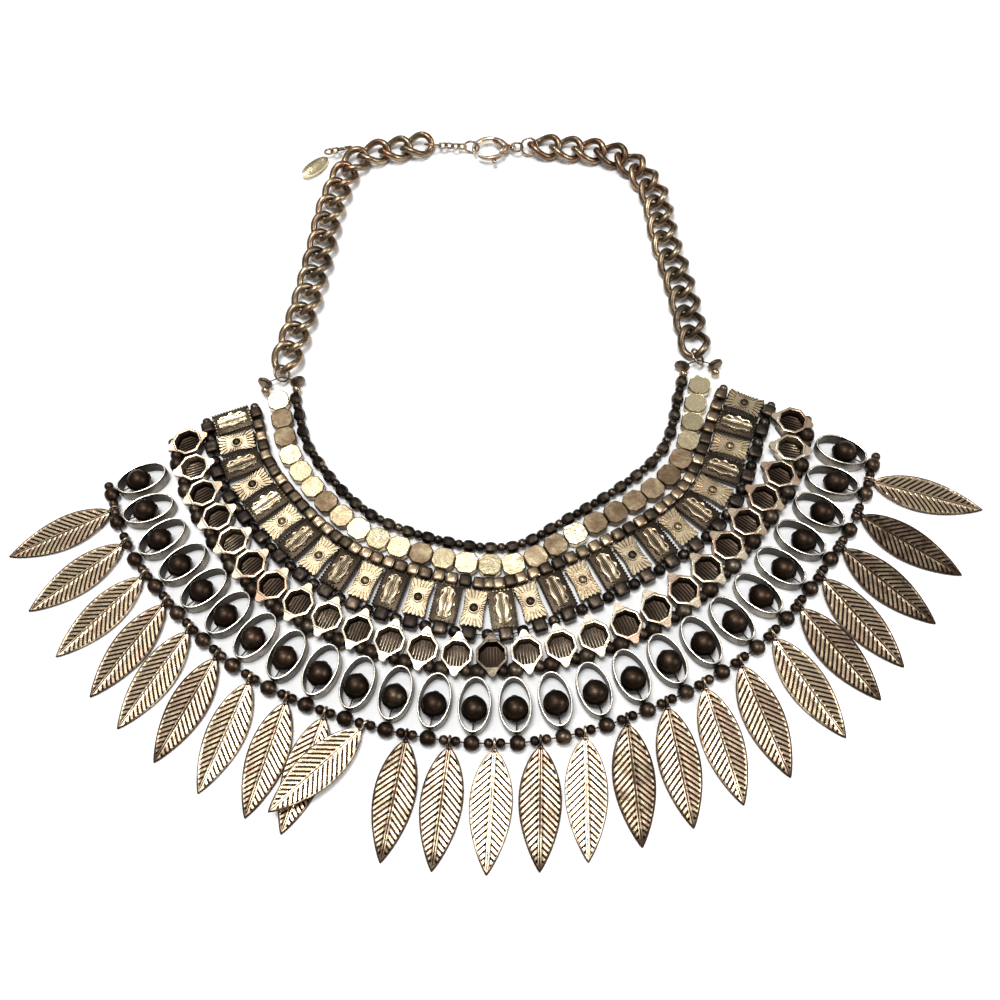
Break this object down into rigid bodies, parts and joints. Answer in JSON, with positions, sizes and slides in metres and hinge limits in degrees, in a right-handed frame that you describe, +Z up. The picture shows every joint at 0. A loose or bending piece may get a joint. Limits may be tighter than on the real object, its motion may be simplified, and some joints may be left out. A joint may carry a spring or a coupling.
{
  "type": "bib necklace",
  "caption": "Bib necklace lying flat: rows of strung metal beads, plaques, cups and rings with a leaf fringe, heavy curb chains, lobster clasp and oval tag.",
  "frame": {"origin": "middle of the bounding box, at its underside, where the necklace lies", "axes": "+Z up off the surface it lies on, +X across the bib towards the wearer's left side, -Y from the neck to the leaf fringe"},
  "size_m": [0.299, 0.2656, 0.0074],
  "materials": {
    "bronze": "worn antique bronze, satin",
    "pale_gold": "worn pale gold with brown patina",
    "dark_bead": "dark faceted metal, glossy",
    "dark_bronze": "dark bronze, glossy with pale rims",
    "copper": "pinkish copper, worn bright at the edges"
  },
  "bodies": {
    "necklace": {"inner_beads_right_side": "dark_bead", "inner_beads_front": "dark_bead", "inner_beads_left_side": "dark_bead", "octagon_plaques_right_side": "pale_gold", "octagon_plaques_front": "pale_gold", "octagon_plaques_left_side": "pale_gold", "spacer_beads_right_side": "bronze", "spacer_beads_front": "bronze", "spacer_beads_left_side": "bronze", "long_plaques_right_side": "bronze", "long_plaques_front": "bronze", "long_plaques_left_side": "bronze", "square_beads_right_side": "dark_bead", "square_beads_front": "dark_bead", "square_beads_left_side": "dark_bead", "octagon_cups_right_side": "copper", "octagon_cups_front": "copper", "octagon_cups_left_side": "copper", "ring_fringe_right_side": "dark_bronze", "ring_fringe_front": "dark_bronze", "ring_fringe_left_side": "dark_bronze", "leaf_01": "copper", "leaf_02": "pale_gold", "leaf_03": "pale_gold", "leaf_04": "copper", "leaf_05": "pale_gold", "leaf_06": "pale_gold", "leaf_07": "copper", "leaf_08": "pale_gold", "leaf_09": "pale_gold", "leaf_10": "copper", "leaf_11": "pale_gold", "leaf_12": "pale_gold", "leaf_13": "copper", "leaf_14": "pale_gold", "leaf_15": "pale_gold", "leaf_16": "copper", "leaf_17": "pale_gold", "leaf_18": "pale_gold", "leaf_19": "copper", "leaf_20": "pale_gold", "leaf_21": "pale_gold", "leaf_22": "copper", "leaf_23": "pale_gold", "leaf_24": "pale_gold", "leaf_25": "copper", "curb_chain_right_side": "bronze", "curb_chain_left_side": "bronze", "extender_links": "bronze", "clasp_body": "copper", "clasp_rings": "bronze", "oval_tag": "bronze", "tag_links": "bronze", "end_rings_right_side": "bronze", "end_rings_left_side": "bronze"},
    "lever": {"clasp_lever": "copper"}
  },
  "joints": [
    {"name": "lever_hinge", "type": "hinge", "parent": "necklace", "child": "lever", "pos_m": [0.00686, 0.12103, 0.003], "axis": [0, 0, -1], "range_deg": [0, 14], "stiffness_Nm_per_rad": 0.0005}
  ]
}
